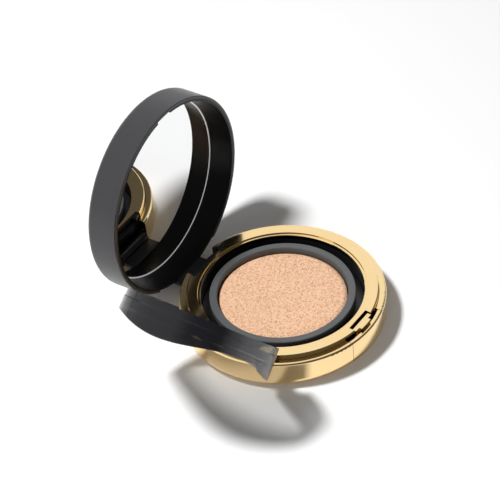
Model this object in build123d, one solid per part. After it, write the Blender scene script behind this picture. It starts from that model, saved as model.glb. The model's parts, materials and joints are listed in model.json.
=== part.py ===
from build123d import *
from math import cos, radians, sin
import os

# Cushion compact, in millimetres. +Z is up, the button faces -Y, the lid's hinge is at +Y.
# The origin is the centre of the foot, on the table. Both lids are modelled shut and then
# turned to the open stops that are the rest pose.

# ---- driving dimensions -------------------------------------------------------------------
R_OUT = 39.0            # base and lid, outside
Z_LIP = 14.0            # top of the inner lip round the recess
Z_DECK = 14.5           # top of the flat deck
Z_LEDGE = 12.5          # ledge that the lid's rim comes down on
Z_COLLAR = 13.1         # top of the refill's collar
Z_SPONGE = 11.7         # top of the sponge
R_SPONGE = 24.4         # sponge where it stands up through the collar
R_RECESS = 30.9         # wall of the black recess round the refill
R_DECK = 36.2           # outer wall of the raised deck

SHELL_WALL = 1.7        # base shell
SHELL_BOTTOM = 0.35     # underside of the shell, the foot pad stands this much proud
FOOT_R = 31.0           # foot pad
SHELL_FLOOR = 1.9       # top of the shell's floor
SHELL_ROUND = 4.5       # radius that turns the shell's wall into its bottom
LEDGE_ROUND = 0.9       # radius of the ledge's outer edge
GAP = 0.15              # seam between fixed neighbours

LID_RIM = 12.77         # lid's rim plane when shut
LID_HEIGHT = 13.0
LID_WALL = 1.1
LID_ROUND = 2.0
MIRROR_FACE = 9.45      # depth of the mirror below the rim plane
R_MIRROR = 35.8
MIRROR_THICK = 1.5
LID_HINGE_Y, LID_HINGE_Z = 36.5, 5.1
LID_OPEN = 92.8         # degrees from shut to the open stop
ARM_WIDTH = 16.4
ARM_TOP = 16.5          # top of the arm's tongue in the lid's wall
ARM_NOTCH = 8.6         # half width of the notch in the shell that the arm swings in
RELIEF_ANGLE = 27.8     # low place in the lid's cover, degrees to each side of the arm's middle
BRACKET_HALF = 10.6     # hinge bracket, and the gap in the deck that it fills
BRACKET_FRONT = 32.7
PIN_R, PIN_SLIP = 0.9, 0.05
PIN_HALF = 11.0

SKIRT_R = 29.7          # inner lid, outside
SKIRT_RIM = 7.1         # its lower rim when shut
INNER_FLOOR = 13.5      # underside of its floor when shut
INNER_FLOOR_TOP = 14.5
INNER_WALL = 1.05
TRAY_TOP = 19.5         # top of the lobes of the tray wall
DIP_DEPTH, DIP_R = 4.2, 33.0
INNER_HINGE_X, INNER_HINGE_Z = -32.0, 12.1
INNER_OPEN = 130.8      # degrees from shut to the open stop
INNER_PIN_R = 0.6

BUTTON_HALF = 10.1      # half width of the button in the wall
BUTTON_LOW = 3.9        # lower edge of the button
BUTTON_TRAVEL = 0.8     # pressed in along +Y
LATCH_HALF = 5.6        # half width of the notch in the deck for the catch
LATCH_BACK = 33.2       # inner end of that notch


# ---- small helpers ------------------------------------------------------------------------
def turned(*points):
    """Revolve a closed outline of (radius, height) points about Z."""
    outline = Polyline(*[(r, 0, z) for r, z in points], close=True)
    return revolve(make_face(outline), Axis.Z)


def ring(r_in, r_out, z_low, z_high):
    """Plain ring, or a disc where r_in is 0."""
    blank = Pos(0, 0, (z_low + z_high) / 2) * Cylinder(r_out, z_high - z_low)
    if r_in > 0:
        blank -= Pos(0, 0, (z_low + z_high) / 2) * Cylinder(r_in, z_high - z_low + 1)
    return blank


def block(x, y, z):
    """Box from its (low, high) pairs."""
    centre = [(a + b) / 2 for a, b in (x, y, z)]
    return Pos(*centre) * Box(x[1] - x[0], y[1] - y[0], z[1] - z[0])


def bar_x(r, half, y, z):
    """Round bar along X."""
    return Pos(0, y, z) * Rot(0, 90, 0) * Cylinder(r, 2 * half)


def bar_y(r, half, x, z):
    """Round bar along Y."""
    return Pos(x, 0, z) * Rot(90, 0, 0) * Cylinder(r, 2 * half)


def edges_at(solid, r, z, tolerance=0.02):
    """Circular edges of a turned piece at one radius and height."""
    return [e for e in solid.edges().filter_by(GeomType.CIRCLE)
            if abs(e.radius - r) < tolerance and abs(e.center().Z - z) < tolerance]


# ---- base ---------------------------------------------------------------------------------
def shell_blank():
    """Solid outer form of the base, which the button continues."""
    blank = ring(0, R_OUT, SHELL_BOTTOM, Z_LEDGE)
    blank = fillet(edges_at(blank, R_OUT, SHELL_BOTTOM), SHELL_ROUND)
    return fillet(edges_at(blank, R_OUT, Z_LEDGE), LEDGE_ROUND)


def base_shell():
    """Gold outer shell: cup with a rounded bottom, an inward ledge and hinge bosses."""
    r_in = R_OUT - SHELL_WALL
    hollow = ring(0, r_in, SHELL_FLOOR, Z_LEDGE - 1.3)
    hollow = fillet(edges_at(hollow, r_in, SHELL_FLOOR), SHELL_ROUND - SHELL_WALL)
    shell = shell_blank() - hollow - ring(0, R_DECK + GAP, SHELL_FLOOR, Z_LEDGE + 1)

    boss = block((ARM_NOTCH, 12.4), (33.4, R_OUT), (2.0, 8.8))
    bosses = (boss + boss.mirror(Plane.YZ)) & ring(0, R_OUT - 0.6, 1.0, 9.5)
    shell += bosses
    shell -= block((-ARM_NOTCH, ARM_NOTCH), (32, R_OUT + 1), (2.2, Z_LEDGE + 1))
    shell -= bar_x(PIN_R + PIN_SLIP, PIN_HALF + 0.1, LID_HINGE_Y, LID_HINGE_Z)

    half = BUTTON_HALF + GAP
    shell -= block((-half, half), (-R_OUT - 1, -32), (BUTTON_LOW - GAP, Z_LEDGE + 1))
    shell -= ring(0, FOOT_R + GAP, 0, 1.0)
    return shell


def foot_pad():
    """Soft disc that the compact stands on, in a recess of the shell."""
    return ring(0, FOOT_R, 0, 1.0)


def weight_plate():
    """Steel disc between the shell's floor and the well, so the open lid doesn't tip it."""
    return ring(0, 31.0, SHELL_FLOOR, 3.35)


def base_well():
    """Black tray that the refill drops into, with the flange that the deck stands on."""
    well = turned((0, 3.4), (R_RECESS + 1, 3.4), (R_RECESS + 1, 9.2), (37.1, 9.2), (37.1, 10.2),
                  (R_RECESS + 1, 10.2), (R_RECESS + 1, 12.1), (R_RECESS, 12.1),
                  (R_RECESS, 4.4), (0, 4.4))
    well -= block((-R_RECESS - 4, -R_RECESS + 4), (-7, 7), (5.4, 13))
    well -= block((-12.8, 12.8), (33.2, 40), (3, 13))
    well -= block((-10.8, 10.8), (-40, -34.7), (3, 13))
    return well


def deck_ring():
    """Gold deck round the recess: inner lip, flat top and outer wall, hollow underneath."""
    deck = turned((R_RECESS, 12.2), (R_RECESS, Z_LIP - 0.15), (R_RECESS + 0.15, Z_LIP),
                  (R_RECESS + 1, Z_LIP), (R_RECESS + 1.1, Z_DECK), (R_DECK - 0.35, Z_DECK),
                  (R_DECK, Z_DECK - 0.35), (R_DECK, 10.25), (R_DECK - 1.2, 10.25),
                  (R_DECK - 1.2, 13.4), (R_RECESS + 1, 13.4), (R_RECESS + 1, 12.2))
    deck -= block((-LATCH_HALF, LATCH_HALF), (-40, -LATCH_BACK), (10.4, 15))
    deck -= block((-40, -25), (-10.5, 10.5), (11.9, 15))
    half = BRACKET_HALF + 0.1
    return deck - block((-half, half), (BRACKET_FRONT - 0.1, 40), (10, 15))


def hinge_bracket():
    """Black block that fills the deck's gap at the hinge, low in the middle between two ears."""
    bracket = block((-BRACKET_HALF, BRACKET_HALF), (BRACKET_FRONT, 40), (8.85, 14.3))
    bracket -= block((-7.0, 7.0), (BRACKET_FRONT + 0.8, 40), (12.3, 15))
    bracket -= block((-ARM_NOTCH, ARM_NOTCH), (30, 40), (8, 10.4))
    bracket -= block((-12, 12), (30, 33.6), (8, 10.4))
    return bracket & ring(0, R_DECK - 0.3, 8, 15)


# ---- refill -------------------------------------------------------------------------------
def refill_cup():
    """Black cup of the refill, with its flange and the two ears of the inner lid's hinge."""
    cup = turned((0, 4.45), (27.2, 4.45), (27.2, 5.6), (30.6, 5.6), (30.6, 6.5), (27.2, 6.5),
                 (27.2, 12.15), (26.0, 12.15), (26.0, 5.45), (0, 5.45))
    ear = block((INNER_HINGE_X - 1.4, -30.4), (4.3, 6.3), (5.6, INNER_HINGE_Z))
    ear += Pos(0, 5.3, 0) * bar_y(1.4, 1.0, INNER_HINGE_X, INNER_HINGE_Z)
    ear += block((INNER_HINGE_X - 1.4, -29.4), (4.3, 6.3), (5.6, 6.5))
    ears = ear + ear.mirror(Plane.XZ)
    return cup + ears - bar_y(INNER_PIN_R, 8, INNER_HINGE_X, INNER_HINGE_Z)


def refill_collar():
    """Grey ring that snaps over the cup and holds the sponge down."""
    collar = turned((24.7, 9.0), (25.8, 9.0), (25.8, 12.2), (27.2, 12.2), (27.2, 10.8),
                    (27.6, 10.8), (27.6, Z_COLLAR - 0.25), (27.35, Z_COLLAR),
                    (25.0, Z_COLLAR), (24.7, Z_COLLAR - 0.3))
    return collar


def sponge():
    """Soaked foam: a wide root held under the collar and a low crowned top."""
    foam = turned((0, 5.5), (25.8, 5.5), (25.8, 8.8), (R_SPONGE, 8.8),
                  (R_SPONGE, Z_SPONGE - 1.0), (R_SPONGE - 0.4, Z_SPONGE - 0.35),
                  (R_SPONGE - 1.4, Z_SPONGE - 0.05), (R_SPONGE - 3, Z_SPONGE), (0, Z_SPONGE))
    return foam


def inner_lid_pin():
    """Steel pin through the refill's ears and the inner lid's knuckle."""
    return bar_y(INNER_PIN_R, 6.3, INNER_HINGE_X, INNER_HINGE_Z)


# ---- inner lid ----------------------------------------------------------------------------
def finger_dip(angle):
    """Cutter for one low place of the tray wall, at an angle from the lid's free end."""
    z = TRAY_TOP - DIP_DEPTH + DIP_R
    return Rot(0, 0, angle) * Pos(25, 0, z) * Rot(0, 90, 0) * Cylinder(DIP_R, 24)


def inner_lid():
    """Smoky clear lid: skirt round the collar below, tray with three low places above."""
    r_in = SKIRT_R - INNER_WALL
    lid = turned((SKIRT_R - 0.3, SKIRT_RIM), (SKIRT_R - 0.3, SKIRT_RIM + 2.7),
                 (SKIRT_R, SKIRT_RIM + 2.9), (SKIRT_R, TRAY_TOP), (r_in, TRAY_TOP),
                 (r_in, INNER_FLOOR_TOP), (0, INNER_FLOOR_TOP), (0, INNER_FLOOR),
                 (r_in, INNER_FLOOR), (r_in, SKIRT_RIM))
    for angle in (60, 180, 300):
        lid -= finger_dip(angle)
    lid -= block((-32, 0), (-19.5, 19.5), (6, 10.2))            # swings past the collar
    lid -= block((-32, -20), (-13, 13), (INNER_FLOOR_TOP, 22))  # swings past the deck
    lid -= block((-32, -27.5), (-12, 12), (INNER_FLOOR + 0.5, 22))
    arm = block((INNER_HINGE_X, -28.8), (-3.9, 3.9), (INNER_HINGE_Z - 0.7, INNER_FLOOR + 0.5))
    knuckle = arm + bar_y(1.35, 3.9, INNER_HINGE_X, INNER_HINGE_Z)
    return lid + knuckle - bar_y(INNER_PIN_R + PIN_SLIP, 8, INNER_HINGE_X, INNER_HINGE_Z)


def inner_lid_gasket():
    """Soft ring under the inner lid's floor that seals on the collar."""
    return ring(25.4, 27.0, Z_COLLAR + 0.05, INNER_FLOOR)


# ---- button and latch ---------------------------------------------------------------------
def push_button():
    """Gold segment of the wall that is pressed to let the lid go."""
    body = shell_blank() - ring(0, 37.2, 0, Z_LEDGE + 1)
    half = BUTTON_HALF
    return body & block((-half, half), (-R_OUT - 1, -30), (BUTTON_LOW, Z_LEDGE + 1))


def latch_catch():
    """Gold catch in the deck's notch, carried by the button on a short web."""
    back = -LATCH_BACK - GAP - BUTTON_TRAVEL
    outline = [(-35.95, 10.7), (back, 10.7), (back, 13.65), (back - 0.25, 13.9), (-35.95, 13.9)]
    profile = make_face(Polyline(*[(0, y, z) for y, z in outline], close=True))
    bar = extrude(profile, 5.2, dir=(1, 0, 0), both=True)
    web = block((-4.8, 4.8), (-38, -35.9), (10.7, 11.7))
    nose = block((-3.0, 3.0), (-38, -35.9), (13.1, 13.9))
    return bar + ((web + nose) & ring(0, 37.2, 10, 15))


def latch_spring():
    """Coil spring that pushes the button back out, between the well and the button."""
    front, back, wire, coil = -36.85, -32.3, 0.35, 1.5
    turns = 4
    length = back - front
    path = Helix(pitch=length / turns, height=length, radius=coil)
    start = path.location_at(0)
    section = Plane(start.position, z_dir=path.tangent_at(0)) * Circle(wire / 2)
    spring = sweep(section, path=path)
    return Pos(0, back, 6.6) * Rot(90, 0, 0) * spring


# ---- lid ----------------------------------------------------------------------------------
def hinge_wedge(z_low, z_high):
    """Cutter with two radial faces, RELIEF_ANGLE to each side of the hinge."""
    reach = 60
    corners = [(reach * sin(radians(a)), reach * cos(radians(a)))
               for a in (-RELIEF_ANGLE, 0, RELIEF_ANGLE)]
    plan = make_face(Polyline((0, 0), *corners, close=True))
    return Pos(0, 0, z_low) * extrude(plan, z_high - z_low)


def lid_shell():
    """Satin black cover of the lid, cut low at the hinge for the arm and its relief."""
    inside_top = LID_RIM + MIRROR_FACE + MIRROR_THICK + 0.3
    top = LID_RIM + LID_HEIGHT
    cover = ring(0, R_OUT, LID_RIM, top)
    cover = fillet(edges_at(cover, R_OUT, top), LID_ROUND)
    cover = fillet(edges_at(cover, R_OUT, LID_RIM), 0.35)
    cover -= ring(0, R_OUT - LID_WALL, LID_RIM - 1, inside_top)
    return cover - hinge_wedge(LID_RIM - 1, ARM_TOP + 0.1)


def lid_liner():
    """Gloss black ring inside the lid that frames the mirror."""
    r_out = R_OUT - LID_WALL
    face = LID_RIM + MIRROR_FACE
    back = face + MIRROR_THICK + 0.3
    liner = turned((37.0, LID_RIM + 0.05), (r_out, LID_RIM + 0.05), (r_out, back),
                   (R_MIRROR + 0.1, back), (R_MIRROR + 0.1, face - 0.05),
                   (R_MIRROR - 0.15, face - 0.05))
    return liner - block((-4, 4), (-37.75, -36.0), (LID_RIM - 1, 14.2))


def mirror():
    """Glass mirror with a fine ground edge."""
    face = LID_RIM + MIRROR_FACE
    bevel = 0.45
    return turned((0, face), (R_MIRROR - bevel, face), (R_MIRROR, face + bevel),
                  (R_MIRROR, face + MIRROR_THICK), (0, face + MIRROR_THICK))


def mirror_tape():
    """Foam tape that bonds the mirror to the cover."""
    back = LID_RIM + MIRROR_FACE + MIRROR_THICK
    return ring(0, 33.5, back, back + 0.3)


def lid_arm():
    """Black hinge arm: knuckle on the pin, strap up the back and a tongue in the lid's wall."""
    half = ARM_WIDTH / 2
    strap = block((-half, half), (LID_HINGE_Y + 0.1, R_OUT), (LID_HINGE_Z, LID_RIM + 0.05))
    tongue = block((-half, half), (33, R_OUT), (LID_RIM, ARM_TOP))
    tongue -= ring(0, R_OUT - LID_WALL, LID_RIM, 17)
    knuckle = bar_x(2.3, half, LID_HINGE_Y, LID_HINGE_Z)
    arm = (strap + tongue + knuckle) & ring(0, R_OUT - 0.1, 1, 17)
    return arm - bar_x(PIN_R + PIN_SLIP, half + 1, LID_HINGE_Y, LID_HINGE_Z)


def lid_hinge_pin():
    """Steel pin through the base's bosses and the arm."""
    return bar_x(PIN_R, PIN_HALF, LID_HINGE_Y, LID_HINGE_Z)


# ---- assembly at rest, both lids at their open stops --------------------------------------
def lid_open(piece):
    return piece.rotate(Axis((0, LID_HINGE_Y, LID_HINGE_Z), (1, 0, 0)), -LID_OPEN)


def inner_open(piece):
    return piece.rotate(Axis((INNER_HINGE_X, 0, INNER_HINGE_Z), (0, 1, 0)), -INNER_OPEN)


FIXED = [base_shell, foot_pad, weight_plate, base_well, deck_ring, hinge_bracket, refill_cup,
         refill_collar, sponge, inner_lid_pin, push_button, latch_catch, latch_spring,
         lid_hinge_pin]
ON_LID = [lid_shell, lid_liner, mirror, mirror_tape, lid_arm]
ON_INNER = [inner_lid, inner_lid_gasket]

os.makedirs("parts", exist_ok=True)
pieces = {make.__name__: make() for make in FIXED}
pieces.update({make.__name__: lid_open(make()) for make in ON_LID})
pieces.update({make.__name__: inner_open(make()) for make in ON_INNER})
for name, piece in pieces.items():
    export_step(piece, f"parts/{name}.step")
    print(f"{name:18s} {piece.volume:9.1f} mm3  {len(piece.solids())} solid")
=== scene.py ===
# %% [markdown]
# # A cushion compact, cell by cell
# The CAD model is the fixed frame: it says where everything is and what moves with what.
# This file gives each piece its final surface and its finish, and it places the camera,
# the floor and the light. Lengths are in metres, because Blender works in metres.

# %% Load the frame
import json
import math

import bpy
from mathutils import Matrix, Vector, noise


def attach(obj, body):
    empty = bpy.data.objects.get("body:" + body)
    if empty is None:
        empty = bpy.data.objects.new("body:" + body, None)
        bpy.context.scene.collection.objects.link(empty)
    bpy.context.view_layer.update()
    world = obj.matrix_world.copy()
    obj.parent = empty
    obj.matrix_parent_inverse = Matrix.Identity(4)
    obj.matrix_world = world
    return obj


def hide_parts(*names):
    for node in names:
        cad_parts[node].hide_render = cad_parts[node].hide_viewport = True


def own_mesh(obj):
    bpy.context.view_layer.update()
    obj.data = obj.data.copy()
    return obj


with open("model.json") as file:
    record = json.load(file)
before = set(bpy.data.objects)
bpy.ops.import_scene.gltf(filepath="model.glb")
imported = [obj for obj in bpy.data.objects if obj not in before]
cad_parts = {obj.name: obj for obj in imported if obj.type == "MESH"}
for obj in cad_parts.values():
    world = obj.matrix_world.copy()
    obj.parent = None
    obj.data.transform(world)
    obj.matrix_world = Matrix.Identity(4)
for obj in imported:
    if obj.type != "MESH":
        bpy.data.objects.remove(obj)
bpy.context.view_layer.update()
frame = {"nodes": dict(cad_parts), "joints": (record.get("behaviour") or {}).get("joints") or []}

MM = 0.001

# %% [markdown]
# ## Hinges
# The pieces below are modelled shut, and swung open by the angle that the CAD lids are.
# The hinges' places come from the frame's joints, whose zero is the open stop. The inner
# lid's joint ends where that lid is shut, so its range is the angle. The outer lid's joint
# stops before that lid is shut, so its whole angle is stated here.

# %% Read the hinges
joints = {joint["name"]: joint for joint in frame["joints"]}
LID_HINGE = Vector(joints["lid_hinge"]["pos_m"])
INNER_HINGE = Vector(joints["inner_lid_hinge"]["pos_m"])
LID_OPEN = math.radians(92.8)
INNER_OPEN = math.radians(joints["inner_lid_hinge"]["range_deg"][1])


def swing(hinge, angle, axis):
    """The move that swings a piece open about a hinge."""
    return Matrix.Translation(hinge) @ Matrix.Rotation(-angle, 4, axis) @ Matrix.Translation(-hinge)


OPEN_LID = swing(LID_HINGE, LID_OPEN, "X")
OPEN_INNER = swing(INNER_HINGE, INNER_OPEN, "Y")
print("lid hinge", tuple(LID_HINGE), "inner lid hinge", tuple(INNER_HINGE))

# %% [markdown]
# ## Camera
# A long lens far away keeps the circles close to true ellipses. The camera is set by its
# azimuth and height round a point near the hinge, then rolled a little.

# %% Camera
AZIMUTH, ELEVATION, ROLL = math.radians(-53.09), math.radians(41.7), math.radians(-4.81)
AIM = Vector((12.65, 23.09, 14.0)) * MM
DISTANCE = 1143.7 * MM
SENSOR_WIDTH, LENS = 36.0, 216.0            # in mm, as Blender's camera takes them
NEAR, FAR = 0.05, 20.0


def add_object(name, data):
    """Put a mesh, a lamp or a camera into the scene."""
    made = bpy.data.objects.new(name, data)
    bpy.context.scene.collection.objects.link(made)
    return made


back = Vector((math.sin(AZIMUTH) * math.cos(ELEVATION),
               -math.cos(AZIMUTH) * math.cos(ELEVATION), math.sin(ELEVATION)))
level = Vector((math.cos(AZIMUTH), math.sin(AZIMUTH), 0))
upright = back.cross(level)
right = level * math.cos(ROLL) + upright * math.sin(ROLL)
up = upright * math.cos(ROLL) - level * math.sin(ROLL)
place = AIM + back * DISTANCE
camera = add_object("camera", bpy.data.cameras.new("camera"))
camera.data.sensor_width = SENSOR_WIDTH
camera.data.lens = LENS
camera.data.clip_start, camera.data.clip_end = NEAR, FAR
camera.matrix_world = Matrix(((right.x, up.x, back.x, place.x), (right.y, up.y, back.y, place.y),
                              (right.z, up.z, back.z, place.z), (0, 0, 0, 1)))
bpy.context.scene.camera = camera
print("camera at", tuple(round(c, 3) for c in place))

# %% [markdown]
# ## Node trees as plain expressions
# Light, finishes and shapes are all made with node trees. Wrapping a socket in a small class
# lets Python's own operators add Math nodes, so a pattern reads like the formula it is.

# %% Sockets with operators
class Socket:
    """One output of a node, with Python's operators."""

    def __init__(self, owner, socket):
        self.owner, self.socket = owner, socket

    def other(self, name):
        """Another output of the same node."""
        return Socket(self.owner, self.socket.node.outputs[name])

    def __add__(self, value):
        return self.owner.maths("ADD", self, value)

    __radd__ = __add__

    def __mul__(self, value):
        return self.owner.maths("MULTIPLY", self, value)

    __rmul__ = __mul__

    def __sub__(self, value):
        return self.owner.maths("SUBTRACT", self, value)

    def __rsub__(self, value):
        return self.owner.maths("SUBTRACT", value, self)

    def __pow__(self, value):
        return self.owner.maths("POWER", self, value)


# %% Trees
class Tree:
    """A node tree, and the way that nodes are added to it."""

    def __init__(self, tree):
        self.tree = tree

    def node(self, kind, settings=None, inputs=None):
        """Add a node, set it up, link or fill its inputs, and return its first output."""
        made = self.tree.nodes.new(kind)
        for key, value in (settings or {}).items():
            if key == "stops":
                self._stops(made.color_ramp, value)
            else:
                setattr(made, key, value)
        for key, value in (inputs or {}).items():
            self.feed(made.inputs[key], value)
        return Socket(self, next(output for output in made.outputs if output.enabled))

    def _stops(self, ramp, stops):
        while len(ramp.elements) < len(stops):
            ramp.elements.new(1.0)
        for element, (place, colour) in zip(ramp.elements, stops):
            element.position = place
            element.color = (*colour, 1)

    def feed(self, target, value):
        """Link a socket to an input, or fill the input with a plain value."""
        if isinstance(value, Socket):
            self.tree.links.new(value.socket, target)
        else:
            target.default_value = value

    def maths(self, operation, *values):
        """One Math node. The operators use it too."""
        return self.node("ShaderNodeMath", {"operation": operation}, dict(enumerate(values)))

    def span(self, value, from_low, from_high, to_low, to_high, **settings):
        """Stretch one range of numbers onto another, and hold it at the ends."""
        return self.node("ShaderNodeMapRange", settings, {
            "Value": value, "From Min": from_low, "From Max": from_high,
            "To Min": to_low, "To Max": to_high})


# %% [markdown]
# ## Floor and light
# The compact stands on a white table. One lamp, high behind the left, gives the grey shadow
# at the right and the front. Polished gold only looks bright when there is something bright
# for it to reflect, and only looks like metal when there is something dark as well. So in
# reflections the world is white at the back and dark in front, as between a white screen and
# a black card, and as a fill light it is even and dim. A second, wide lamp in front keeps
# the shadow there light. Both lamps are kept out of reflections, because they would leave
# hard spots on the gloss.

# %% Floor
FLOOR_HALF = 3.0
floor_mesh = bpy.data.meshes.new("floor")
floor_mesh.from_pydata([(-FLOOR_HALF, -FLOOR_HALF, 0), (FLOOR_HALF, -FLOOR_HALF, 0),
                        (FLOOR_HALF, FLOOR_HALF, 0), (-FLOOR_HALF, FLOOR_HALF, 0)],
                       [], [(0, 1, 2, 3)])
floor = add_object("floor", floor_mesh)
print("floor", 2 * FLOOR_HALF, "m square")

# %% Lamps
KEY_PLACE = Vector((-0.31, 0.33, 1.0)).normalized() * 1.15
KEY_SIZE, KEY_POWER = 0.19, 14.5
FRONT_PLACE = Vector((-0.95, -0.62, 0.46))
FRONT_SIZE, FRONT_POWER = 0.6, 3.5


def soft_lamp(name, place, size, power):
    """A round lamp that points at the compact and doesn't show in reflections."""
    lamp = bpy.data.lights.new(name, "AREA")
    lamp.shape = "DISK"
    lamp.size = size
    lamp.energy = power
    holder = add_object(name, lamp)
    holder.location = place
    holder.rotation_euler = (-place).to_track_quat("-Z", "Y").to_euler()
    holder.visible_glossy = False


soft_lamp("key", KEY_PLACE, KEY_SIZE, KEY_POWER)
soft_lamp("front", FRONT_PLACE, FRONT_SIZE, FRONT_POWER)
print("lamps of", KEY_POWER, "and", FRONT_POWER, "W")

# %% World
FILL = 0.10                                 # world strength as a fill light
CARD, SHINE = 0.10, 1.0                     # in reflections, from the front and from the back
CARD_END, SCREEN_START = -0.35, 0.22        # where along Y the one gives way to the other

world = bpy.data.worlds.new("studio")
world.use_nodes = True
sky = world.node_tree.nodes["Background"]
sky.inputs["Color"].default_value = (1, 1, 1, 1)
studio = Tree(world.node_tree)
way = studio.node("ShaderNodeSeparateXYZ", {}, {"Vector": studio.node("ShaderNodeTexCoord")})
seen = studio.span(way.other("Y"), CARD_END, SCREEN_START, CARD, SHINE,
                   interpolation_type="SMOOTHSTEP")
fills = studio.node("ShaderNodeLightPath").other("Is Diffuse Ray")
studio.feed(sky.inputs["Strength"], studio.span(fills, 0.0, 1.0, seen, FILL))
bpy.context.scene.world = world
bpy.context.scene.view_settings.view_transform = "Standard"
print("fill", FILL, "reflections", CARD, "to", SHINE)

# %% [markdown]
# ## The finishes
# Every finish is a Principled shader whose colour and roughness wander with a noise, because
# nothing real is the same all over. A noise seldom leaves its middle stretch, so that stretch
# is what gets spread over the wanted range.

# %% Paint
NOISE_LOW, NOISE_HIGH = 0.3, 0.7
MIX_A, MIX_B = 6, 7                         # a Mix node's two colour inputs


class Paint(Tree):
    """One material and the nodes that are being added to it."""

    def __init__(self, name):
        self.material = bpy.data.materials.new(name)
        self.material.use_nodes = True
        super().__init__(self.material.node_tree)
        self.shader = self.tree.nodes["Principled BSDF"]

    def set(self, **values):
        """Set the shader's own sockets, with _ for the spaces of their names."""
        for key, value in values.items():
            self.feed(self.shader.inputs[key.replace("_", " ")], value)

    def place(self):
        """Object coordinates."""
        return self.node("ShaderNodeTexCoord").other("Object")

    def attribute(self, name):
        """A number that is stored on the mesh."""
        return self.node("ShaderNodeAttribute", {"attribute_name": name}).other("Fac")

    def noise(self, scale, detail=2.0, rough=0.5):
        """A number that wanders over the surface."""
        return self.node("ShaderNodeTexNoise", {}, {
            "Vector": self.place(), "Scale": scale, "Detail": detail, "Roughness": rough})

    def vary(self, wander, low, high):
        """Let a number wander between low and high with a noise."""
        return self.span(wander, NOISE_LOW, NOISE_HIGH, low, high)

    def between(self, mask, low, high):
        """Go from one colour to another as mask goes from 0 to 1."""
        return self.node("ShaderNodeMix", {"data_type": "RGBA"},
                         {"Factor": mask, MIX_A: (*low, 1), MIX_B: (*high, 1)})

    def bump(self, height, distance, strength):
        """Tilt the surface a little, as if it stood up by distance where height is 1."""
        self.set(Normal=self.node("ShaderNodeBump", {}, {
            "Height": height, "Distance": distance, "Strength": strength}))


# %% [markdown]
# Polished gold plating: nearly a mirror, with a faint warm drift of colour and very fine
# polishing marks that only show in the highlights.

# %% Gold plating
def gold_plating():
    """Champagne gold for the base, the deck, the button and the catch."""
    paint = Paint("gold plating")
    drift = paint.noise(60, 3)
    marks = paint.noise(2500)
    paint.set(Base_Color=paint.between(drift, (0.93, 0.67, 0.33), (0.95, 0.73, 0.40)),
              Metallic=1.0, Roughness=paint.vary(drift * 0.6 + marks * 0.4, 0.07, 0.13))
    paint.bump(marks, 0.004 * MM, 0.25)
    return paint.material


# %% [markdown]
# Moulded plastics: one function with different numbers, because black satin, black gloss
# and dark grey differ only in their colour, their gloss and how coarse their grain is.

# %% Moulded plastics
def moulded(name, low, high, gloss, grain_scale, grain_depth, shine=0.5):
    """Plastic or rubber, from its darker to its lighter colour, with a moulded grain."""
    paint = Paint(name)
    cloud = paint.noise(90, 3)
    grain = paint.noise(grain_scale)
    paint.set(Base_Color=paint.between(cloud, low, high), Specular_IOR_Level=shine,
              Roughness=paint.vary(cloud * 0.5 + grain * 0.5, gloss - 0.03, gloss + 0.04))
    paint.bump(grain, grain_depth, 0.5)
    return paint.material


# %% [markdown]
# Smoky clear plastic lets some of the light straight through. Alpha does that. Towards the
# two ends, front and back, one looks along less of the tinted wall, so the finish gets
# clearer there, and its colour is painted lighter there: painted light that stands for the
# light seen through the thinner tint. The mask is only the distance from the middle, along Y.
# The flat disc is one thin layer, so it is clearer than the walls and throws a light shadow.
# Its points carry a number, "middle", that is 1 at the disc's middle and 0 at its rim.

# %% Smoky plastic
END_START, END_FULL = 20.0 * MM, 29.7 * MM  # along Y, where the ends begin and where they end
CLEAR_MIDDLE, CLEAR_END = 0.06, 0.42        # light let through by the walls
DISC_START, DISC_TINT = 0.12, 0.40          # where the disc is fully clear, and its tint there


def smoky_plastic():
    """Tinted clear plastic for the inner lid and its knuckle."""
    paint = Paint("smoky plastic")
    from_middle = paint.maths("ABSOLUTE", paint.node(
        "ShaderNodeSeparateXYZ", {}, {"Vector": paint.place()}).other("Y"))
    end = paint.span(from_middle, END_START, END_FULL, 0.0, 1.0)
    wall = 1.0 - paint.span(end, 0.0, 1.0, CLEAR_MIDDLE, CLEAR_END)
    disc = paint.span(paint.attribute("middle"), 0.0, DISC_START, 1.0, DISC_TINT)
    # Painted light: the colour goes from near black to a lighter grey towards the two ends.
    paint.set(Base_Color=paint.between(end ** 1.5, (0.009, 0.009, 0.011), (0.22, 0.22, 0.23)),
              Roughness=paint.vary(paint.noise(50), 0.07, 0.12), Alpha=wall * disc,
              Specular_IOR_Level=0.28)
    return paint.material


# %% [markdown]
# Open-cell foam soaked with foundation: the pores are real dents in the mesh, and this finish
# also paints shade into them, darker the deeper the pore. Their depth is stored on the mesh as
# an attribute, and a fine noise adds painted shade in specks, for pores too small for the mesh.

# %% Foam
FOAM_AND_PAINTED_PORE_SHADE = [(0.0, (0.80, 0.53, 0.36)), (0.30, (0.70, 0.41, 0.25)), (1.0, (0.28, 0.12, 0.055))]


def soaked_foam():
    """Beige foam, with painted shade from its skin down to the bottom of a pore."""
    paint = Paint("soaked foam")
    depth = paint.attribute("pore")
    speck = paint.noise(2600, 3, 0.6)
    # Painted shade: the ramp darkens the foam by pore depth and by the fine specks.
    shade = paint.node("ShaderNodeValToRGB", {"stops": FOAM_AND_PAINTED_PORE_SHADE},
                       {"Fac": depth + paint.span(speck, 0.35, 0.75, -0.12, 0.30)})
    paint.set(Base_Color=shade, Roughness=paint.span(depth, 0.0, 1.0, 0.62, 0.85),
              Subsurface_Weight=0.12, Subsurface_Scale=1.5 * MM)
    paint.bump(speck, 0.06 * MM, 0.6)
    return paint.material


# %% [markdown]
# Silvered glass and steel are metals to a shader, and differ in how sharply they reflect.
# The ground edge of the glass is pale and dull, and glows a little, a painted glow: the cell on
# the mirror says why. The table's paint is plain, with the faintest drift.

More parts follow.
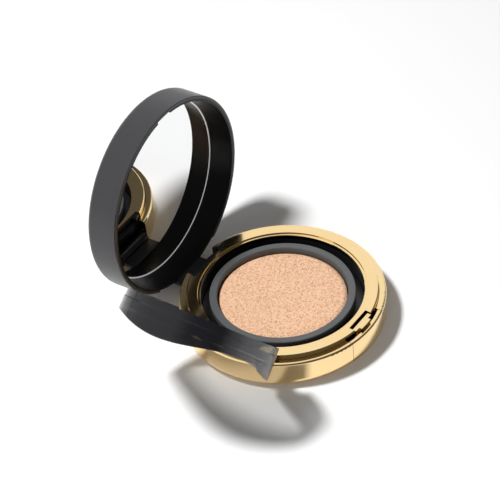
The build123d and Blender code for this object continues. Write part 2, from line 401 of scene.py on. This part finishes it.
# %% Mirror, steel and floor
def mirror_glass():
    """Silvered glass, with a haze that only just shows."""
    paint = Paint("mirror glass")
    haze = paint.noise(40)
    paint.set(Base_Color=paint.between(haze, (0.90, 0.91, 0.92), (0.94, 0.95, 0.95)),
              Metallic=1.0, Roughness=paint.vary(haze, 0.004, 0.012))
    return paint.material


def ground_edge_painted_glow():
    """The glass's bare margin and edge, with a painted glow."""
    paint = Paint("ground glass edge")
    grit = paint.noise(3000)
    paint.set(Base_Color=paint.between(grit, (0.80, 0.81, 0.82), (0.94, 0.95, 0.96)),
              Roughness=paint.vary(grit, 0.40, 0.55),
              # Painted glow: the emission makes the margin shine though it is no lamp.
              Emission_Color=(1, 1, 1, 1), Emission_Strength=0.28)
    return paint.material


def turned_steel():
    """Steel of the pins, the spring and the weight plate."""
    paint = Paint("turned steel")
    marks = paint.noise(1800)
    paint.set(Base_Color=paint.between(marks, (0.52, 0.52, 0.53), (0.62, 0.62, 0.63)),
              Metallic=1.0, Roughness=paint.vary(marks, 0.22, 0.32))
    return paint.material


def pale_floor():
    """White table."""
    paint = Paint("pale floor")
    paint.set(Base_Color=paint.between(paint.noise(8), (0.90, 0.90, 0.90), (0.92, 0.92, 0.92)),
              Roughness=0.7)
    return paint.material


# %% Make the finishes
GOLD = gold_plating()
SATIN_BLACK = moulded("satin black", (0.020, 0.020, 0.023), (0.030, 0.030, 0.034),
                      0.34, 2600, 0.01 * MM)
GLOSS_BLACK = moulded("gloss black", (0.006, 0.006, 0.006), (0.010, 0.010, 0.010),
                      0.30, 1200, 0.003 * MM, shine=0.18)
WELL_BLACK = moulded("well black", (0.008, 0.008, 0.009), (0.013, 0.013, 0.014),
                     0.30, 2000, 0.006 * MM)
COLLAR_GREY = moulded("collar grey", (0.072, 0.076, 0.078), (0.090, 0.094, 0.096),
                      0.36, 2400, 0.008 * MM)
SOFT_BLACK = moulded("soft black rubber", (0.014, 0.014, 0.015), (0.022, 0.022, 0.023),
                     0.70, 1800, 0.02 * MM)
SILICONE = moulded("clear silicone", (0.42, 0.42, 0.43), (0.50, 0.50, 0.51),
                   0.40, 900, 0.01 * MM)
SMOKE = smoky_plastic()
FOAM = soaked_foam()
MIRROR = mirror_glass()
GROUND_EDGE_PAINTED_GLOW = ground_edge_painted_glow()
STEEL = turned_steel()
floor.data.materials.append(pale_floor())
print("finishes", sorted(material.name for material in bpy.data.materials))

# %% [markdown]
# ## Finishes on the CAD pieces
# A CAD mesh is already the right shape, so only its material slots change.

# %% Dress the CAD pieces
DRESS = {"base_shell": GOLD, "deck_ring": GOLD, "push_button": GOLD, "latch_catch": GOLD,
         "base_well": WELL_BLACK, "refill_cup": WELL_BLACK, "lid_arm": WELL_BLACK,
         "hinge_bracket": WELL_BLACK, "refill_collar": COLLAR_GREY, "lid_shell": SATIN_BLACK,
         "lid_liner": GLOSS_BLACK, "foot_pad": SOFT_BLACK, "mirror_tape": SOFT_BLACK,
         "inner_lid_gasket": SILICONE, "weight_plate": STEEL, "inner_lid_pin": STEEL,
         "lid_hinge_pin": STEEL}
for node, finish in DRESS.items():
    mesh = frame["nodes"][node].data
    mesh.materials.clear()
    mesh.materials.append(finish)
print("dressed", len(DRESS), "CAD pieces")

# %% [markdown]
# ## Turned pieces
# A round piece is one outline carried round an axis. Each ring of points shares the outline,
# and the faces join neighbouring rings. An outline starts and ends on the axis, where a ring
# is a single point, so the poles have no hole. It runs outwards along the underside, up the
# outside and back over the top, which makes every face point outwards.

# %% Helpers for meshes
CRISP = math.radians(35)                    # an edge that turns more than this stays crisp


def smooth(mesh):
    """Shade a mesh smooth between its crisp edges."""
    mesh.polygons.foreach_set("use_smooth", [True] * len(mesh.polygons))
    mesh.set_sharp_from_angle(angle=CRISP)


def mark(mesh, name, numbers):
    """Store one number at each point of a mesh."""
    mesh.attributes.new(name, "FLOAT", "POINT").data.foreach_set("value", numbers)


def turned(name, outline, steps, finishes, finish_of=None):
    """Carry (radius, height) points round Z. finish_of gives each outline stretch its finish."""
    points, rings = [], []
    for radius, height in outline:
        if radius == 0:
            rings.append([len(points)] * steps)
            points.append((0, 0, height))
        else:
            rings.append(list(range(len(points), len(points) + steps)))
            points += [(radius * math.cos(math.tau * k / steps),
                        radius * math.sin(math.tau * k / steps), height) for k in range(steps)]
    faces, numbers = [], []
    for stretch, (low, high) in enumerate(zip(rings, rings[1:])):
        for k in range(steps):
            after = (k + 1) % steps
            faces.append(tuple(dict.fromkeys((low[k], low[after], high[after], high[k]))))
            numbers.append(finish_of[stretch] if finish_of else 0)
    mesh = bpy.data.meshes.new(name)
    mesh.from_pydata(points, [], faces)
    for finish in finishes:
        mesh.materials.append(finish)
    mesh.polygons.foreach_set("material_index", numbers)
    smooth(mesh)
    return add_object(name, mesh)


# %% [markdown]
# ## Mirror
# The glass is a disc whose silvering stops just short of its edge. The bare margin shows as a
# thin bright ring all round, so the disc has two finishes: silvered face and ground margin.
# Light that enters the face runs through the glass and leaves at the margin, even inside a
# dark lid. A little emission on the margin paints that light on as a painted glow, though the
# glass is no lamp.

# %% Mirror
MIRROR_FACE, MIRROR_BACK = 22.22 * MM, 23.72 * MM       # heights with the lid shut
MIRROR_R, MARGIN, MIRROR_STEPS = 35.8 * MM, 0.75 * MM, 256
glass = turned("mirror_glass",
               [(0, MIRROR_FACE), (MIRROR_R - MARGIN, MIRROR_FACE), (MIRROR_R, MIRROR_FACE),
                (MIRROR_R, MIRROR_BACK), (0, MIRROR_BACK)],
               MIRROR_STEPS, [MIRROR, GROUND_EDGE_PAINTED_GLOW], [0, 1, 1, 1])
glass.data.transform(OPEN_LID)
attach(glass, "lid")
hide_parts("mirror")
print("mirror", len(glass.data.polygons), "faces")

# %% [markdown]
# ## Sponge
# The sponge is open-cell foam: low and crowned, held down by the collar, with pores about
# half a millimetre apart. A square grid is bent into a disc, so that its cells stay even
# from the middle to the edge. Each pore is a real dent, and its depth is kept on the mesh
# for the finish to read. The pores come in patches, some deep and some hardly there.

# %% Sponge: where its points go
FOAM_R, FOAM_TOP, FOAM_CROWN, FOAM_LOW = 24.3 * MM, 11.25 * MM, 0.75 * MM, 8.9 * MM
SHOULDER_START, SHOULDER_WIDTH, SHOULDER_DROP = 0.93, 0.07, 0.8 * MM    # along the radius of 1
FOAM_CELLS = 230
PORE_SPACING, PORE_DEPTH = 0.66 * MM, 0.24 * MM
PORE_REACH, PORE_FALL = 0.62, 1.1           # a pore's radius in spacings, and how it deepens
PATCH_SCALE, PATCH_LEAST, PATCH_GAIN = 0.45, 0.35, 1.1


def square_to_disc(a, b):
    """Bend a point of the square from -1 to 1 into the unit disc, with even cells."""
    if a == 0 and b == 0:
        return 0.0, 0.0
    if abs(a) > abs(b):
        radius, turn = a, math.pi / 4 * b / a
    else:
        radius, turn = b, math.pi / 2 - math.pi / 4 * a / b
    return radius * math.cos(turn), radius * math.sin(turn)


def pore_at(x, y):
    """Depth of the foam's surface pores, from 0 between them to 1 at the deepest."""
    spot = Vector((x, y, 0)) / PORE_SPACING
    nearest = noise.voronoi(spot, distance_metric="DISTANCE")[0][0]
    patch = 0.5 + 0.5 * noise.noise(spot * PATCH_SCALE)
    return (max(0.0, 1.0 - nearest / PORE_REACH) ** PORE_FALL
            * min(1.0, PATCH_LEAST + PATCH_GAIN * patch))


def foam_top():
    """The points of the foam's upper face, row by row, and the depth of the pore at each."""
    points, pores = [], []
    for j in range(FOAM_CELLS + 1):
        for i in range(FOAM_CELLS + 1):
            u, v = square_to_disc(2 * i / FOAM_CELLS - 1, 2 * j / FOAM_CELLS - 1)
            reach = math.hypot(u, v)
            pore = pore_at(u * FOAM_R, v * FOAM_R)
            shoulder = max(0.0, (reach - SHOULDER_START) / SHOULDER_WIDTH) ** 2 * SHOULDER_DROP
            swell = FOAM_CROWN * (1 - reach ** 2) - shoulder
            points.append((u * FOAM_R, v * FOAM_R, FOAM_TOP + swell - PORE_DEPTH * pore))
            pores.append(pore)
    return points, pores


# %% Sponge: the closed form
def foam_sponge():
    """The upper face, a straight side below its edge, and a flat underside."""
    points, pores = foam_top()
    side = FOAM_CELLS + 1
    faces = [(j * side + i, j * side + i + 1, (j + 1) * side + i + 1, (j + 1) * side + i)
             for j in range(FOAM_CELLS) for i in range(FOAM_CELLS)]
    edge = (list(range(FOAM_CELLS)) + [j * side + FOAM_CELLS for j in range(FOAM_CELLS)]
            + [FOAM_CELLS * side + i for i in range(FOAM_CELLS, 0, -1)]
            + [j * side for j in range(FOAM_CELLS, 0, -1)])
    first, count = len(points), len(edge)
    points += [(points[k][0], points[k][1], FOAM_LOW) for k in edge]
    faces += [(edge[(k + 1) % count], edge[k], first + k, first + (k + 1) % count)
              for k in range(count)]
    faces.append(tuple(reversed(range(first, first + count))))
    mesh = bpy.data.meshes.new("foam_sponge")
    mesh.from_pydata(points, [], faces)
    mark(mesh, "pore", pores + [0.0] * count)
    mesh.polygons.foreach_set("use_smooth", [len(f.vertices) == 4 for f in mesh.polygons])
    mesh.materials.append(FOAM)
    return add_object("foam_sponge", mesh)


foam = foam_sponge()
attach(foam, "base")
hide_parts("sponge")
print("foam", len(foam.data.polygons), "faces")

# %% [markdown]
# ## Inner lid
# The inner lid is a skirt below a floor, with a tray wall above whose edge runs in three
# smooth waves, for a finger to lift it by. The wave is a rule: the edge stands at a mean
# height plus a cosine of three times the angle. So the plain lid is turned first, and
# Geometry Nodes move its two edges by the rule. Near the hinge both edges are cut back, so
# that the lid can swing past the collar and the deck.

# %% Inner lid: the plain turned form
SKIRT_R, SKIRT_RIM, WALL = 29.7 * MM, 7.1 * MM, 1.05 * MM
INNER_FLOOR, FLOOR_TOP = 13.5 * MM, 14.5 * MM
STEP_IN, STEP_HEIGHT, EDGE_ROUND = 0.3 * MM, 2.8 * MM, 0.25 * MM
TRAY_MEAN, TRAY_WAVE, TRAY_WAVES = 17.4 * MM, 2.05 * MM, 3.0
TOP_EDGE, LOW_EDGE = 1.0, -1.0
INNER_STEPS = 288
inside = SKIRT_R - WALL
flat_top = TRAY_MEAN + TRAY_WAVE
inner_outline = [
    (0, INNER_FLOOR, 0.0), (inside, INNER_FLOOR, 0.0), (inside, SKIRT_RIM, LOW_EDGE),
    (SKIRT_R - STEP_IN, SKIRT_RIM, LOW_EDGE),
    (SKIRT_R - STEP_IN, SKIRT_RIM + STEP_HEIGHT, LOW_EDGE),
    (SKIRT_R, SKIRT_RIM + STEP_HEIGHT + STEP_IN, 0.0), (SKIRT_R, flat_top - EDGE_ROUND, TOP_EDGE),
    (SKIRT_R - EDGE_ROUND, flat_top, TOP_EDGE), (inside + EDGE_ROUND, flat_top, TOP_EDGE),
    (inside, flat_top - EDGE_ROUND, TOP_EDGE), (inside, FLOOR_TOP, 0.0), (0, FLOOR_TOP, 0.0)]
inner = turned("smoky_inner_lid", [(r, z) for r, z, _ in inner_outline], INNER_STEPS, [SMOKE])
edges, middles = [], []
for radius, _, edge in inner_outline:
    ring = 1 if radius == 0 else INNER_STEPS
    edges += [edge] * ring
    middles += [float(radius == 0)] * ring
mark(inner.data, "edge", edges)
mark(inner.data, "middle", middles)
print("plain inner lid", len(inner.data.vertices), "points")

# %% [markdown]
# A Geometry Nodes tree has named inputs for its sizes, so the same tree would make a lid
# with four waves as easily. It ends in plain geometry with its material on. Run once on a
# piece, it leaves a mesh, and its modifier goes.

# %% Trees that make shapes
class Shape(Tree):
    """A Geometry Nodes tree with named inputs."""

    def __init__(self, name, sizes):
        super().__init__(bpy.data.node_groups.new(name, "GeometryNodeTree"))
        sockets = self.tree.interface
        sockets.new_socket("Geometry", in_out="INPUT", socket_type="NodeSocketGeometry")
        sockets.new_socket("Geometry", in_out="OUTPUT", socket_type="NodeSocketGeometry")
        for size, value in sizes.items():
            socket = sockets.new_socket(size, in_out="INPUT", socket_type="NodeSocketFloat")
            socket.default_value = value
        self.entry = self.tree.nodes.new("NodeGroupInput")

    def input(self, name):
        """One of the tree's own inputs."""
        return Socket(self, self.entry.outputs[name])

    def finish(self, geometry, material):
        """End the tree: make everything real and give it its material."""
        whole = self.node("GeometryNodeRealizeInstances", {}, {"Geometry": geometry})
        coated = self.node("GeometryNodeSetMaterial", {}, {"Geometry": whole, "Material": material})
        self.feed(self.tree.nodes.new("NodeGroupOutput").inputs["Geometry"], coated)


def bake(piece, tree):
    """Run a Geometry Nodes tree on a piece and keep the plain mesh that it makes."""
    modifier = piece.modifiers.new("rule", "NODES")
    modifier.node_group = tree
    evaluated = piece.evaluated_get(bpy.context.evaluated_depsgraph_get())
    made = bpy.data.meshes.new_from_object(evaluated)
    piece.modifiers.remove(modifier)
    piece.data = made


# %% [markdown]
# The wave's tree reads each point's angle, works out how far its edge moves, and sets its
# height. The cuts beside the hinge bring some points of the skirt's step together, and those
# become one.

# %% Inner lid: the wave rule as Geometry Nodes
LOW_CUT, LOW_CUT_TURN = 10.2 * MM, (132, 138)       # skirt's rim beside the hinge, and the
HINGE_CUT, HINGE_CUT_TURN = 14.0 * MM, (146, 154)   # tray's edge, from and to these degrees
MERGE = 0.002 * MM


def wave_rule():
    """Move the turned lid's two edges to where they belong."""
    shape = Shape("wave edge", {"Mean height": TRAY_MEAN, "Wave height": TRAY_WAVE,
                                "Waves": TRAY_WAVES, "Turned height": flat_top})
    x = shape.node("ShaderNodeSeparateXYZ", {}, {
        "Vector": shape.node("GeometryNodeInputPosition")})
    z = x.other("Z")
    angle = shape.maths("ARCTAN2", x.other("Y"), x)
    from_free_end = shape.maths("ABSOLUTE", angle)

    def toward_hinge(start, end):
        return shape.span(from_free_end, math.radians(start), math.radians(end), 0.0, 1.0,
                          interpolation_type="SMOOTHSTEP")

    edge = shape.node("GeometryNodeInputNamedAttribute", {"data_type": "FLOAT"}, {"Name": "edge"})
    is_top = shape.maths("GREATER_THAN", edge, TOP_EDGE / 2)
    is_low = shape.maths("LESS_THAN", edge, LOW_EDGE / 2)
    wave = shape.maths("COSINE", angle * shape.input("Waves"))
    height = shape.input("Mean height") + shape.input("Wave height") * wave
    near = toward_hinge(*HINGE_CUT_TURN)
    cut_top = height * (1.0 - near) + near * HINGE_CUT
    top_rise = is_top * (cut_top - shape.input("Turned height"))
    low_rise = is_low * toward_hinge(*LOW_CUT_TURN) * (shape.maths("MAXIMUM", z, LOW_CUT) - z)
    offset = shape.node("ShaderNodeCombineXYZ", {}, {"Z": top_rise + low_rise})
    moved = shape.node("GeometryNodeSetPosition", {}, {
        "Geometry": shape.input("Geometry"), "Offset": offset})
    merged = shape.node("GeometryNodeMergeByDistance", {}, {"Geometry": moved, "Distance": MERGE})
    shape.finish(merged, SMOKE)
    return shape.tree


bake(inner, wave_rule())
heights = [v.co.z for v in inner.data.vertices]
print("inner lid from", round(min(heights) / MM, 2), "to", round(max(heights) / MM, 2), "mm")
inner.data.transform(OPEN_INNER)
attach(inner, "inner_lid")
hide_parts("inner_lid")

# %% [markdown]
# The knuckle that runs on the pin is round on the far side and runs into a square web that
# meets the lid's wall. One loop of points makes its outline and a second the bore, point for
# point, so the ends are a single band of faces. The web has more points than its shape needs,
# because each gives the bore one too, and a bore with few points would cut into the pin.

# %% Inner lid: knuckle
KNUCKLE_R, KNUCKLE_HALF, BORE_R = 1.35 * MM, 3.9 * MM, 0.65 * MM
WEB_END, WEB_LOW, WEB_HIGH = 3.1 * MM, -0.7 * MM, 1.9 * MM      # from the pin's middle
ROUND_START, ROUND_END, ROUND_STEP = 96, 328, 8                 # degrees round the pin
TOP_SHARES = (0.6, 0.36, 0.2, 0.08)                             # of the web, along its top


def hinge_knuckle():
    """A bored block, round at one end, about the inner lid's pin."""
    outer = [(KNUCKLE_R * math.cos(math.radians(a)), KNUCKLE_R * math.sin(math.radians(a)))
             for a in range(ROUND_START, ROUND_END + 1, ROUND_STEP)]
    outer += [(WEB_END, WEB_LOW), (WEB_END, 0.0), (WEB_END, WEB_HIGH / 2), (WEB_END, WEB_HIGH)]
    outer += [(WEB_END * share, WEB_HIGH) for share in TOP_SHARES]
    bore = [(BORE_R * u / math.hypot(u, v), BORE_R * v / math.hypot(u, v)) for u, v in outer]
    count = len(outer)
    points = [(INNER_HINGE.x + u, y, INNER_HINGE.z + v)
              for y in (-KNUCKLE_HALF, KNUCKLE_HALF) for loop in (outer, bore) for u, v in loop]
    faces = []
    for k in range(count):
        after = (k + 1) % count
        front, front_bore, far, far_bore = ((n * count + k, n * count + after) for n in range(4))
        faces += [(front[0], front[1], front_bore[1], front_bore[0]),
                  (far[0], far_bore[0], far_bore[1], far[1]),
                  (front[0], far[0], far[1], front[1]),
                  (front_bore[0], front_bore[1], far_bore[1], far_bore[0])]
    mesh = bpy.data.meshes.new("inner_lid_knuckle")
    mesh.from_pydata(points, [], faces)
    smooth(mesh)
    mesh.materials.append(SMOKE)
    mesh.transform(OPEN_INNER)
    return add_object("inner_lid_knuckle", mesh)


knuckle = hinge_knuckle()
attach(knuckle, "inner_lid")
print("knuckle", len(knuckle.data.polygons), "faces")

# %% [markdown]
# ## Latch spring
# The coil spring behind the button follows a path, so Geometry Nodes make it: a spiral curve
# with a round section swept along it. When the button is pressed, its front end moves in by
# the button's travel while its back end stays put; here it is made only at its rest length.

# %% Latch spring
SPRING_BACK, SPRING_FRONT, SPRING_HEIGHT = -32.3 * MM, -36.85 * MM, 6.6 * MM
COIL_R, WIRE_R, COIL_TURNS = 1.5 * MM, 0.175 * MM, 4.0
COIL_STEPS, WIRE_STEPS = 40, 12             # points to a turn, and round the wire
spring_length = SPRING_BACK - SPRING_FRONT


def coil_tree():
    """Sweep a wire along a spiral of one radius."""
    shape = Shape("coil", {"Coil radius": COIL_R, "Wire radius": WIRE_R, "Turns": COIL_TURNS,
                           "Length": spring_length})
    path = shape.node("GeometryNodeCurveSpiral", {}, {
        "Resolution": COIL_STEPS, "Rotations": shape.input("Turns"),
        "Start Radius": shape.input("Coil radius"), "End Radius": shape.input("Coil radius"),
        "Height": shape.input("Length")})
    section = shape.node("GeometryNodeCurvePrimitiveCircle", {}, {
        "Resolution": WIRE_STEPS, "Radius": shape.input("Wire radius")})
    wire = shape.node("GeometryNodeCurveToMesh", {}, {
        "Curve": path, "Profile Curve": section, "Fill Caps": True})
    shape.finish(wire, STEEL)
    return shape.tree


spring = add_object("coil_spring", bpy.data.meshes.new("coil_spring"))
bake(spring, coil_tree())
spring.data.transform(Matrix.Translation((0, SPRING_BACK, SPRING_HEIGHT))
                      @ Matrix.Rotation(math.pi / 2, 4, "X"))
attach(spring, "base")
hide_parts("latch_spring")
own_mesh(spring)
spans = [v.co.y / MM for v in spring.data.vertices]
print("spring along Y from", round(min(spans), 2), "to", round(max(spans), 2), "mm")
